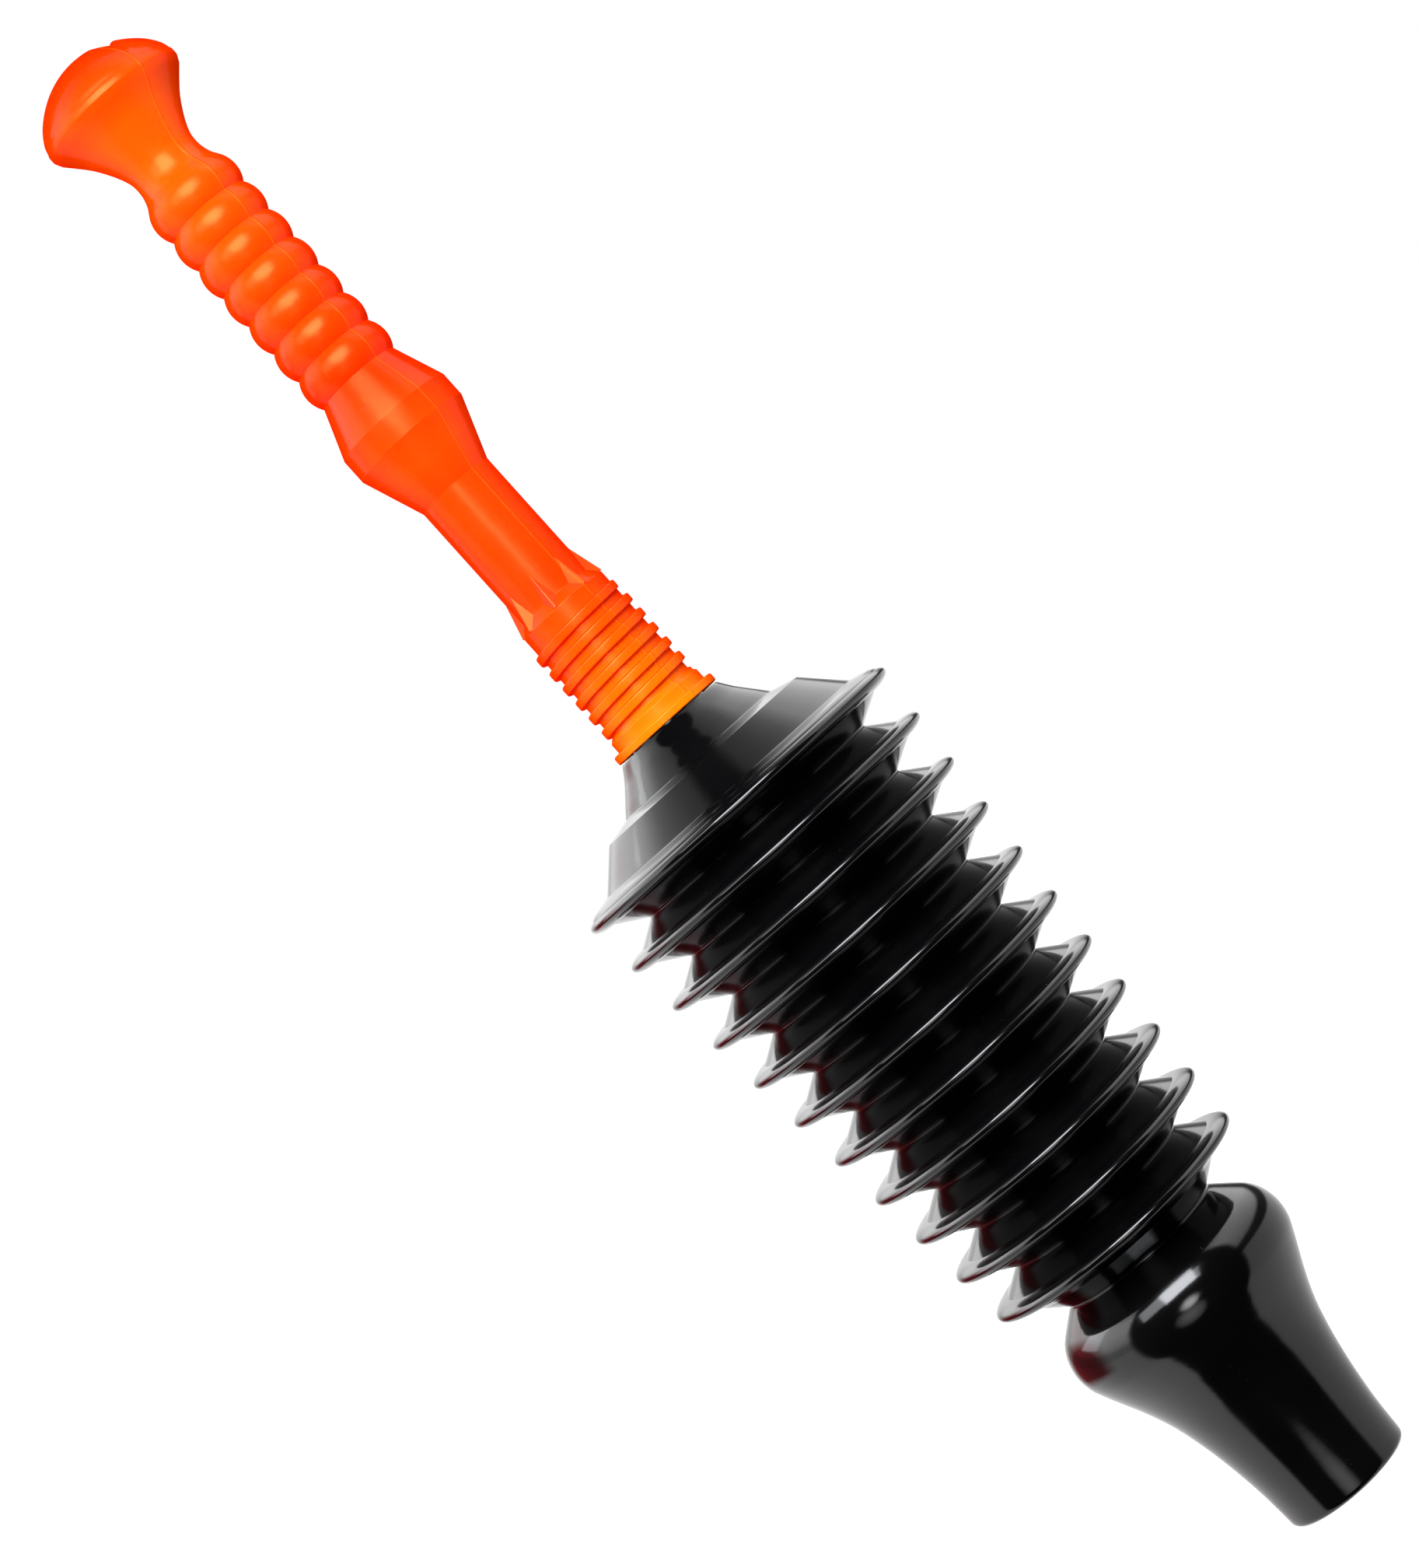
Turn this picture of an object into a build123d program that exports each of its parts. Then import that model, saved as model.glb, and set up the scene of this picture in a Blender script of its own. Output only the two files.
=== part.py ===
from build123d import *
import os
from math import radians, cos, sin

# A bellows plunger: a hollow handle screwed onto a one-piece bellows with a tapered nozzle.
# It stands on its nozzle. The origin is the centre of the nozzle's lip, +Z runs up the handle,
# and all lengths are in millimetres. Profiles are drawn as (radius, z) in the XZ plane.

# ---- driving dimensions ----
TOTAL_HEIGHT = 631.0

# nozzle
NOZZLE_TOP_Z = 104.5
NOZZLE_WALL = 2.4
LIP_OUTER_R = 24.0
LIP_INNER_R = 20.8
LIP_ROUND = 2.0

# bellows folds
RING_COUNT = 11
RING_PITCH = 18.53
LOWEST_RING_Z = 117.2
TOP_RING_R = 65.2
RING_TAPER = 1.42
FOLD_DEPTH = 17.3
BEAD_DEPTH = 7.0
BEAD_HALF = 2.9
BELLOWS_WALL = 1.6
FOLD_ROOT_INSET = 2.6
LAST_FOLD_ROOT_R = 30.0

# shoulder cone and trumpet flare between the top ring and the handle
SHOULDER_Z = 320.0
SHOULDER_R = 41.8
SHOULDER_INSET = 2.2
FLARE_MID_R = 30.5
FLARE_MID_RISE = 5.3
NECK_BASE_Z = 336.5
NECK_BASE_R = 20.6

# threaded neck
NECK_TOP_Z = 385.2
NECK_CORE_R = 15.2
NECK_BORE_R = 13.2
NECK_THREAD_HEIGHT = 1.5
NECK_THREAD_HALF_ROOT = 0.95
NECK_THREAD_HALF_CREST = 0.55
NECK_THREAD_TURNS = 5.0
NECK_THREAD_DROP = 6.45

# seal washer between the neck and the roof of the socket
SEAL_THICKNESS = 1.8
SEAL_OUTER_R = 15.2
SEAL_BORE_R = 12.8

# handle socket
THREAD_PITCH = 6.45
SOCKET_FLANGE_Z = 337.3
SOCKET_FLANGE_HEIGHT = 3.1
SOCKET_FLANGE_R = 21.4
SOCKET_BAND_R = 18.9
SOCKET_BAND_TOP_Z = 346.0
SOCKET_ROOT_R = 17.1
SOCKET_WALL = 1.5
SOCKET_SHOULDER_Z = 389.3
SOCKET_ROOF_Z = 387.0
SOCKET_MOUTH_Z = 340.5
RIB_TOP_Z = 383.4
RIB_TURNS = 6.0
RIB_HEIGHT = 1.7
RIB_HALF_ROOT = 1.9
RIB_HALF_CREST = 1.4
GROOVE_HALF_ROOT = 1.4
GROOVE_HALF_CREST = 1.0
GROOVE_TURNS = 7.0
EMBED = 0.3

# handle shank, bulge and grip
HANDLE_WALL = 2.2
SHANK_R = 14.1
SHANK_BOTTOM_Z = 393.0
SHANK_TOP_Z = 442.5
BULGE_R = 22.0
BULGE_BOTTOM_Z = 464.0
BULGE_TOP_Z = 473.0
GRIP_BEADS = 7
GRIP_PITCH = 12.37
GRIP_BEAD_R = 17.4
GRIP_GROOVE_R = 15.4
GRIP_BOTTOM_Z = 490.5
WAIST_R = 12.9
WAIST_Z = 587.5
KNOB_R = 27.3
KNOB_RIM_Z = 612.5
KNOB_EDGE = 3.4

# gussets where the shank runs into the socket
GUSSET_COUNT = 8
GUSSET_TURN = 38.0
GUSSET_TOP_Z = 400.5
GUSSET_BASE_Z = 389.8
GUSSET_BASE_R = 16.8
GUSSET_HALF_WIDTH = 2.6
GUSSET_ROOT_R = 13.2


def ring_z(number):
    """Height of a ring's crest. Ring 1 is the top one."""
    return LOWEST_RING_Z + (RING_COUNT - number) * RING_PITCH


def ring_r(number):
    """Crest radius of a ring. The bellows tapers evenly towards the nozzle."""
    return TOP_RING_R - (number - 1) * RING_TAPER


def fold_root_r(number):
    """Radius at the bottom of the V under a ring."""
    if number == RING_COUNT:
        return LAST_FOLD_ROOT_R
    return (ring_r(number) + ring_r(number + 1)) / 2 - FOLD_DEPTH


def fold_root_z(number):
    """Height of the bottom of the V under a ring."""
    if number == RING_COUNT:
        return NOZZLE_TOP_Z
    return ring_z(number) - RING_PITCH / 2


def turned(edges):
    """A solid of revolution about Z from a closed outline in the XZ plane."""
    outline = Wire(edges)
    return Solid.revolve(Face(outline), 360, Axis.Z)


def line(start, end):
    """A straight edge between two (radius, z) points."""
    return Edge.make_line((start[0], 0, start[1]), (end[0], 0, end[1]))


def lines(points):
    """Straight edges through a list of (radius, z) points."""
    return [line(a, b) for a, b in zip(points, points[1:])]


def arc(start, middle, end):
    """A circular edge through three (radius, z) points."""
    corners = [(r, 0, z) for r, z in (start, middle, end)]
    return Edge.make_three_point_arc(*corners)


def curve(points, tangents=None):
    """A smooth edge through (radius, z) points, with optional end directions."""
    places = [(r, 0, z) for r, z in points]
    if tangents is None:
        return Edge.make_spline(places)
    return Edge.make_spline(places, tangents=[(r, 0, z) for r, z in tangents])


def bead(radius, height, depth, half):
    """The half ellipse of a ring's bead, from its upper corner round to its lower one."""
    plane = Plane(origin=(radius - depth, 0, height), x_dir=(1, 0, 0), z_dir=(0, -1, 0))
    return Edge.make_ellipse(depth, half, plane, -90, 90)


def fold_solid(number, top_outer, top_inner):
    """One ring of the bellows, from the outline's top ends down to the V below it."""
    z = ring_z(number)
    r = ring_r(number)
    root_r = fold_root_r(number)
    root_z = fold_root_z(number)
    corner_r = r - BEAD_DEPTH
    inner_half = BEAD_HALF - BELLOWS_WALL
    inner_depth = BEAD_DEPTH - BELLOWS_WALL
    outer = [
        line(top_outer, (corner_r, z + BEAD_HALF)),
        bead(r, z, BEAD_DEPTH, BEAD_HALF),
        line((corner_r, z - BEAD_HALF), (root_r, root_z)),
    ]
    inner = [
        line((root_r, root_z), (root_r - FOLD_ROOT_INSET, root_z)),
        line((root_r - FOLD_ROOT_INSET, root_z), (corner_r, z - inner_half)),
        bead(corner_r + inner_depth, z, inner_depth, inner_half),
        line((corner_r, z + inner_half), top_inner),
        line(top_inner, top_outer),
    ]
    return turned(outer + inner)


def convolution(number):
    """A ring with half a V above it and half a V below it."""
    top_r = fold_root_r(number - 1)
    top_z = fold_root_z(number - 1)
    return fold_solid(number, (top_r, top_z), (top_r - FOLD_ROOT_INSET, top_z))


def bellows_top():
    """The shoulder cone and the top ring."""
    return fold_solid(1, (SHOULDER_R, SHOULDER_Z), (SHOULDER_R - SHOULDER_INSET, SHOULDER_Z))


def nozzle():
    """The swelling below the last fold and the taper down to the rounded lip."""
    outer_points = [
        (LAST_FOLD_ROOT_R, NOZZLE_TOP_Z),
        (39.0, 97.6),
        (43.8, 92.3),
        (45.1, 87.0),
        (42.3, 76.0),
        (36.5, 63.5),
        (31.2, 50.0),
        (27.2, 32.5),
        (24.8, 15.0),
        (LIP_OUTER_R, LIP_ROUND),
    ]
    inner_points = [(r - NOZZLE_WALL, z) for r, z in outer_points[1:-1]]
    bore_top = (LAST_FOLD_ROOT_R - FOLD_ROOT_INSET, NOZZLE_TOP_Z)
    round_mid = LIP_ROUND * (1 - cos(radians(45)))
    edges = [
        curve(outer_points),
        arc(outer_points[-1], (LIP_OUTER_R - round_mid, round_mid), (LIP_OUTER_R - LIP_ROUND, 0)),
        line((LIP_OUTER_R - LIP_ROUND, 0), (LIP_INNER_R, 0)),
        curve([(LIP_INNER_R, 0)] + inner_points[::-1] + [bore_top]),
        line(bore_top, outer_points[0]),
    ]
    return turned(edges)


def helical_bar(radius, top_z, turns, half_root, half_crest, height):
    """A right-handed bar of trapezoid section wound round the axis, rising outwards."""
    length = turns * THREAD_PITCH
    path = Edge.make_helix(THREAD_PITCH, length, radius, center=(0, 0, top_z - length))
    start = path @ 0
    across = Plane(origin=start, x_dir=(start.X, start.Y, 0), z_dir=path % 0)
    section = Polyline(
        (-EMBED, -half_root),
        (height, -half_crest),
        (height, half_crest),
        (-EMBED, half_root),
        close=True,
    )
    face = across * make_face(section)
    return sweep(face, path=path, is_frenet=True)


def neck():
    """The flare above the shoulder and the threaded spigot that the handle screws onto."""
    flare_mid = (FLARE_MID_R, SHOULDER_Z + FLARE_MID_RISE)
    inner_mid = (FLARE_MID_R - SHOULDER_INSET, SHOULDER_Z + FLARE_MID_RISE - BELLOWS_WALL)
    edges = [
        arc((SHOULDER_R, SHOULDER_Z), flare_mid, (NECK_BASE_R, NECK_BASE_Z)),
        line((NECK_BASE_R, NECK_BASE_Z), (NECK_CORE_R, NECK_BASE_Z)),
        line((NECK_CORE_R, NECK_BASE_Z), (NECK_CORE_R, NECK_TOP_Z)),
        line((NECK_CORE_R, NECK_TOP_Z), (NECK_BORE_R, NECK_TOP_Z)),
        line((NECK_BORE_R, NECK_TOP_Z), (NECK_BORE_R, NECK_BASE_Z)),
        arc((NECK_BORE_R, NECK_BASE_Z), inner_mid, (SHOULDER_R - SHOULDER_INSET, SHOULDER_Z)),
        line((SHOULDER_R - SHOULDER_INSET, SHOULDER_Z), (SHOULDER_R, SHOULDER_Z)),
    ]
    thread = helical_bar(
        NECK_CORE_R,
        RIB_TOP_Z - NECK_THREAD_DROP,
        NECK_THREAD_TURNS,
        NECK_THREAD_HALF_ROOT,
        NECK_THREAD_HALF_CREST,
        NECK_THREAD_HEIGHT,
    )
    return turned(edges) + thread


def neck_seal():
    """A flat washer squeezed between the top of the neck and the roof of the socket."""
    base = NECK_TOP_Z
    top = base + SEAL_THICKNESS
    corners = [(SEAL_BORE_R, base), (SEAL_OUTER_R, base), (SEAL_OUTER_R, top), (SEAL_BORE_R, top)]
    return turned(lines(corners + corners[:1]))


def grip_edges(inset):
    """The finger beads, from the top groove down to the bottom one."""
    edges = []
    for number in range(GRIP_BEADS):
        top = GRIP_BOTTOM_Z + (GRIP_BEADS - number) * GRIP_PITCH
        bottom = top - GRIP_PITCH
        groove = GRIP_GROOVE_R - inset
        edges.append(arc((groove, top), (GRIP_BEAD_R - inset, (top + bottom) / 2), (groove, bottom)))
    return edges


def handle_outline(inset):
    """The handle's outline from the top of the dome down to the shank, moved in by a wall."""
    top = TOTAL_HEIGHT - inset
    rim = (KNOB_R - inset, KNOB_RIM_Z)
    dome = curve([(0, top), (20.4 - inset, top - 7.0), rim], tangents=[(1, 0), (0, -1)])
    flare_start = (KNOB_R - inset - 1.0, KNOB_RIM_Z - KNOB_EDGE)
    edge_mid = (KNOB_R - inset - 0.2, KNOB_RIM_Z - KNOB_EDGE / 2)
    grip_top = (GRIP_GROOVE_R - inset, GRIP_BOTTOM_Z + GRIP_BEADS * GRIP_PITCH)
    waist = (WAIST_R - inset, WAIST_Z)
    flare = curve(
        [flare_start, (16.2 - inset, 595.8), waist, grip_top],
        tangents=[(-1, -1.25), (0.6, -1)],
    )
    bulge = [
        (GRIP_GROOVE_R - inset, GRIP_BOTTOM_Z),
        (BULGE_R - inset, BULGE_TOP_Z),
        (BULGE_R - inset, BULGE_BOTTOM_Z),
        (SHANK_R - inset, SHANK_TOP_Z),
        (SHANK_R - inset, SHANK_BOTTOM_Z),
    ]
    return [dome, arc(rim, edge_mid, flare_start), flare] + grip_edges(inset) + lines(bulge)


def handle_outer():
    """The handle as if it were solid, without ribs and gussets."""
    below = [
        (SHANK_R, SHANK_BOTTOM_Z),
        (SOCKET_ROOT_R, SOCKET_SHOULDER_Z),
        (SOCKET_ROOT_R, SOCKET_BAND_TOP_Z),
        (SOCKET_BAND_R, SOCKET_BAND_TOP_Z - (SOCKET_BAND_R - SOCKET_ROOT_R)),
        (SOCKET_BAND_R, SOCKET_FLANGE_Z + SOCKET_FLANGE_HEIGHT),
        (SOCKET_FLANGE_R, SOCKET_FLANGE_Z + SOCKET_FLANGE_HEIGHT),
        (SOCKET_FLANGE_R, SOCKET_FLANGE_Z),
        (0, SOCKET_FLANGE_Z),
        (0, TOTAL_HEIGHT),
    ]
    return turned(handle_outline(0) + lines(below))


def handle_inner():
    """The hollow inside the handle, down through the mouth of the socket."""
    land = SOCKET_ROOT_R - SOCKET_WALL
    mouth = SOCKET_BAND_R - SOCKET_WALL
    below = [
        (SHANK_R - HANDLE_WALL, SHANK_BOTTOM_Z),
        (SHANK_R - HANDLE_WALL, SOCKET_ROOF_Z),
        (land, SOCKET_ROOF_Z),
        (land, SOCKET_BAND_TOP_Z),
        (mouth, SOCKET_MOUTH_Z),
        (mouth, SOCKET_FLANGE_Z),
        (0, SOCKET_FLANGE_Z),
        (0, TOTAL_HEIGHT - HANDLE_WALL),
    ]
    return turned(handle_outline(HANDLE_WALL) + lines(below))


def gusset(number):
    """A four-sided wedge that braces the shank against the socket."""
    turn = radians(GUSSET_TURN + number * 360 / GUSSET_COUNT)

    def place(radial, across, z):
        return (radial * cos(turn) - across * sin(turn), radial * sin(turn) + across * cos(turn), z)

    tip = place(GUSSET_ROOT_R, 0, GUSSET_TOP_Z)
    ridge = place(GUSSET_BASE_R, 0, GUSSET_BASE_Z)
    left = place(GUSSET_ROOT_R, GUSSET_HALF_WIDTH, GUSSET_BASE_Z)
    right = place(GUSSET_ROOT_R, -GUSSET_HALF_WIDTH, GUSSET_BASE_Z)
    sides = [(tip, ridge, left), (tip, right, ridge), (tip, left, right), (ridge, right, left)]
    return Solid(Shell([Face(Wire.make_polygon(side)) for side in sides]))


def handle():
    """The hollow moulding: dome, grip, bulge, shank, gussets and the threaded socket."""
    rib = helical_bar(SOCKET_ROOT_R, RIB_TOP_Z, RIB_TURNS, RIB_HALF_ROOT, RIB_HALF_CREST, RIB_HEIGHT)
    groove = helical_bar(
        SOCKET_ROOT_R - SOCKET_WALL,
        RIB_TOP_Z,
        GROOVE_TURNS,
        GROOVE_HALF_ROOT,
        GROOVE_HALF_CREST,
        RIB_HEIGHT,
    )
    body = handle_outer() + rib
    for number in range(GUSSET_COUNT):
        body += gusset(number)
    return body - handle_inner() - groove


def save(node, shape):
    """Write one sub-part as parts/NODE.step."""
    export_step(shape, os.path.join("parts", node + ".step"))


def main():
    """Build every sub-part and write it."""
    os.makedirs("parts", exist_ok=True)
    save("handle", handle())
    save("neck_seal", neck_seal())
    save("bellows_neck", neck())
    save("bellows_top", bellows_top())
    for number in range(2, RING_COUNT + 1):
        save("convolution_%02d" % number, convolution(number))
    save("nozzle", nozzle())


main()
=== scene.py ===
"""The looks of a bellows plunger: an orange hollow handle on black ringed bellows with a nozzle.

Lengths in the shape tables are in millimetres, as (radius, z) pairs; meshes are in metres.
"""

from math import cos, pi, radians, sin, tan

import bpy
import numpy as np
from mathutils import Matrix, Vector

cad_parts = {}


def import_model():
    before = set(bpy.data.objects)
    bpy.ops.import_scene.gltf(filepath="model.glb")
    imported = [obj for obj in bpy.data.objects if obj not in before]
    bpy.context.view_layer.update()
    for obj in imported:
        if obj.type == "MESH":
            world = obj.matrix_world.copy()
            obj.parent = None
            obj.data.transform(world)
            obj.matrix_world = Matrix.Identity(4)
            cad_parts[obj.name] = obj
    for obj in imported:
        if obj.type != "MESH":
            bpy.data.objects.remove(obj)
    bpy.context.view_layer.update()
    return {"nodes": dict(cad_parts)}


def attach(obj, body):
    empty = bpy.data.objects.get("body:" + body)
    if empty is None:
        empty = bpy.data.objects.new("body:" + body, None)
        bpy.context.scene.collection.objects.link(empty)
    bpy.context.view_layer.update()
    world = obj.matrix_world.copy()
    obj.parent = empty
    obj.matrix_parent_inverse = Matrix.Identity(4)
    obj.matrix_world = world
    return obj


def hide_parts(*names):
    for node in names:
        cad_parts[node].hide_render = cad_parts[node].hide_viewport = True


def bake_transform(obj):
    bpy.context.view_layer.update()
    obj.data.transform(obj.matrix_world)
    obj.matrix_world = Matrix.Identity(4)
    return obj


MM = 0.001

# ---- bellows sizes, the same as the CAD part's ----
RING_COUNT = 11
RING_PITCH = 18.53
LOWEST_RING_Z = 117.2
TOP_RING_R = 65.2
RING_TAPER = 1.42
FOLD_DEPTH = 17.3
BEAD_DEPTH = 7.0
BEAD_HALF = 2.9
WALL = 1.6
FOLD_ROOT_INSET = 2.6
SHOULDER_Z = 320.0
SHOULDER_R = 41.8
NECK_BASE_Z = 336.5
NECK_TOP_Z = 385.2
NECK_CORE_R = 15.2
NECK_BORE_R = 13.2
NECK_THREAD_TURNS = 5.0
LIP_R = 24.0

# ---- handle sizes, the same as the CAD part's ----
TOTAL_HEIGHT = 631.0
HANDLE_WALL = 2.2
THREAD_PITCH = 6.45
RIB_TOP_Z = 383.4
RIB_TURNS = 6.0
SOCKET_ROOT_R = 17.1
SOCKET_BORE_R = 15.6
SOCKET_ROOF_Z = 387.0
SOCKET_SHOULDER_Z = 389.3
BAND_R = 18.9
BAND_TOP_Z = 346.0
FLANGE_R = 21.4
FLANGE_TOP_Z = 340.4
FLANGE_FOOT_Z = 337.3
SHANK_R = 14.1
SHANK_FOOT_Z = 393.0
SHANK_TOP_Z = 442.5
BULGE_R = 22.0
BULGE_FOOT_Z = 464.0
BULGE_TOP_Z = 473.0
GRIP_BEADS = 7
GRIP_PITCH = 12.37
GRIP_BEAD_R = 17.4
GRIP_GROOVE_R = 15.4
GRIP_BOTTOM_Z = 490.5
GUSSET_COUNT = 8
GUSSET_TURN = 38.0

# ---- fine detail of the mouldings ----
FOLD_ROOT_ROUND = 0.5
LIP_ROUND = 2.2
SEAL_GAP = 0.05
SEAM_ANGLES = (-55.0, 125.0)
SEAM_NORMAL = (-sin(radians(SEAM_ANGLES[0])), cos(radians(SEAM_ANGLES[0])), 0.0)
SEAM_HEIGHT = 0.24
SEAM_HALF_WIDTH = 0.42
CREASE_DEPTH = 2.5
CREASE_POINT = (11.1, 0.0)
CREASE_DIRECTION = (0.232, -0.973)
CREASE_GENTLE = 6.8
CREASE_STEEP = 1.8
CREASE_NEAR_END = -17.0
CREASE_NEAR_FADE = 11.0
CREASE_FAR_END = 21.0
CREASE_FAR_FADE = 17.0
DOME_FOOT_Z = 611.0
THREAD_END_HEIGHT = 0.12
THREAD_END_WIDTH = 0.6

# ---- mesh fineness ----
SHARP_ANGLE = 34.0
COLUMNS = 192
FINE_COLUMNS = 256
THREAD_COLUMNS = 96

# ---- camera ----
CAMERA_DISTANCE = 1.30
CAMERA_ROLL = 42.0
VIEW_CENTRE = (-0.0034, 0.3130)
VIEW_HEIGHT = 0.5196
SENSOR = 36.0

# ---- studio ----
FLOOR_GLOW = 0.75
FLOOR_HALF = 12.0
# brightness of the walls, from straight below (0) through the horizon (0.5) to straight above (1)
WALL_BY_HEIGHT = [
    (0.000, 1.0),
    (0.500, 1.1),
    (0.600, 1.3),
    (0.680, 2.1),
    (0.800, 2.8),
    (0.875, 2.8),
    (0.925, 1.3),
    (0.975, 0.6),
    (1.000, 0.3),
]
WALL_SCALE = 3.0
ROOM_LEVEL = 0.02
GLOW_WAY = (-0.09, -0.96, -0.26)
GLOW_LEVEL = 1.6
WINDOW_WAY = (0.0, -0.994, 0.10)
WINDOW_LEVEL = 8.0
RED_WAY = (-0.80, 0.60, 0.0)
DULL_RED = (0.34, 0.03, 0.04)
COOL = (0.92, 0.95, 1.0)
# name, place, target, width, height, watts
LIGHTS = [
    ("key", (0.02, -0.75, 0.88), (0, 0, 0.36), 0.60, 0.56, 13.0),
    ("wide", (-0.15, -0.80, 0.92), (0, 0, 0.36), 1.30, 0.50, 9.0),
    ("left", (-0.70, 0.35, 0.72), (0, 0, 0.50), 0.40, 0.60, 1.5),
]

# ---- colours ----
# the orange, from the flange's foot (0) to the top of the dome (1): its own tone with painted light and shade
# in it, lighter at the flange, the socket, the lower cone and the flare under the knob, deeper on the shank,
# the upper cone and the dome's top
ORANGE_WITH_PAINTED_LIGHT_BY_HEIGHT = [
    (0.00, (0.97, 0.190, 0.0016)),
    (0.03, (0.97, 0.140, 0.0012)),
    (0.10, (0.96, 0.085, 0.0008)),
    (0.16, (0.96, 0.048, 0.0003)),
    (0.20, (0.95, 0.034, 0.0002)),
    (0.35, (0.95, 0.034, 0.0002)),
    (0.40, (0.95, 0.052, 0.0004)),
    (0.46, (0.95, 0.034, 0.0003)),
    (0.51, (0.95, 0.020, 0.0001)),
    (0.56, (0.95, 0.030, 0.0002)),
    (0.80, (0.95, 0.056, 0.0004)),
    (0.90, (0.96, 0.085, 0.0008)),
    (0.945, (0.95, 0.034, 0.0003)),
    (1.00, (0.93, 0.012, 0.0001)),
]
ORANGE_CLOUD = (0.98, 0.070, 0.0012)
# painted highlight along the handle's parting seam
ORANGE_SEAM_HIGHLIGHT = (0.98, 0.200, 0.006)
ORANGE_SCUFF = (0.98, 0.12, 0.008)
# painted shade for the orange's grazing edges
ORANGE_EDGE_SHADE = (0.90, 0.012, 0.0001)
BLACK_DEEP = (0.0010, 0.0010, 0.0012)
BLACK_PALE = (0.0024, 0.0022, 0.0024)
DUST = (0.16, 0.15, 0.15)
WHITE = (1.0, 1.0, 1.0)


def ring_z(number):
    """Height of a ring's crest. Ring 1 is the top one."""
    return LOWEST_RING_Z + (RING_COUNT - number) * RING_PITCH


def ring_r(number):
    """Crest radius of a ring."""
    return TOP_RING_R - (number - 1) * RING_TAPER


# ---------------------------------------------------------------- outlines


def unit(vector):
    """The vector at length one."""
    return vector / np.linalg.norm(vector)


def filleted(points, steps=5):
    """An open outline; a point with a third number gets its corner rounded by that radius."""
    out = []
    for index, point in enumerate(points):
        here = np.array(point[:2], float)
        if len(point) < 3:
            out.append(here)
            continue
        before = unit(np.array(points[index - 1][:2]) - here)
        after = unit(np.array(points[index + 1][:2]) - here)
        half = np.arccos(np.clip(before @ after, -1, 1)) / 2
        centre = here + unit(before + after) * point[2] / sin(half)
        first = here + before * point[2] / tan(half) - centre
        last = here + after * point[2] / tan(half) - centre
        for t in np.linspace(0, 1, steps):
            out.append(centre + unit(first * (1 - t) + last * t) * point[2])
    return [tuple(p) for p in out]


def smooth(points, steps=6):
    """A Catmull-Rom curve through the points."""
    p = np.array(points, float)
    p = np.vstack([2 * p[0] - p[1], p, 2 * p[-1] - p[-2]])
    out = []
    for i in range(1, len(p) - 2):
        for t in np.arange(steps) / steps:
            a = 2 * p[i]
            b = (p[i + 1] - p[i - 1]) * t
            c = (2 * p[i - 1] - 5 * p[i] + 4 * p[i + 1] - p[i + 2]) * t**2
            d = (3 * p[i] - p[i - 1] - 3 * p[i + 1] + p[i + 2]) * t**3
            out.append(tuple((a + b + c + d) / 2))
    out.append(tuple(p[-2]))
    return out


def ellipse(r, z, depth, half, steps=14):
    """A half ellipse bulging outwards, from its upper end to its lower one."""
    turn = np.linspace(pi / 2, -pi / 2, steps)
    return [(r + depth * cos(a), z + half * sin(a)) for a in turn]


def divided(points, longest):
    """The outline with extra points, so that no step is longer than this."""
    out = [points[0]]
    for a, b in zip(points, points[1:]):
        a, b = np.array(a), np.array(b)
        count = max(1, int(np.ceil(np.linalg.norm(b - a) / longest)))
        out += [tuple(a + (b - a) * k / count) for k in range(1, count + 1)]
    return out


# ---------------------------------------------------------------- meshes


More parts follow.
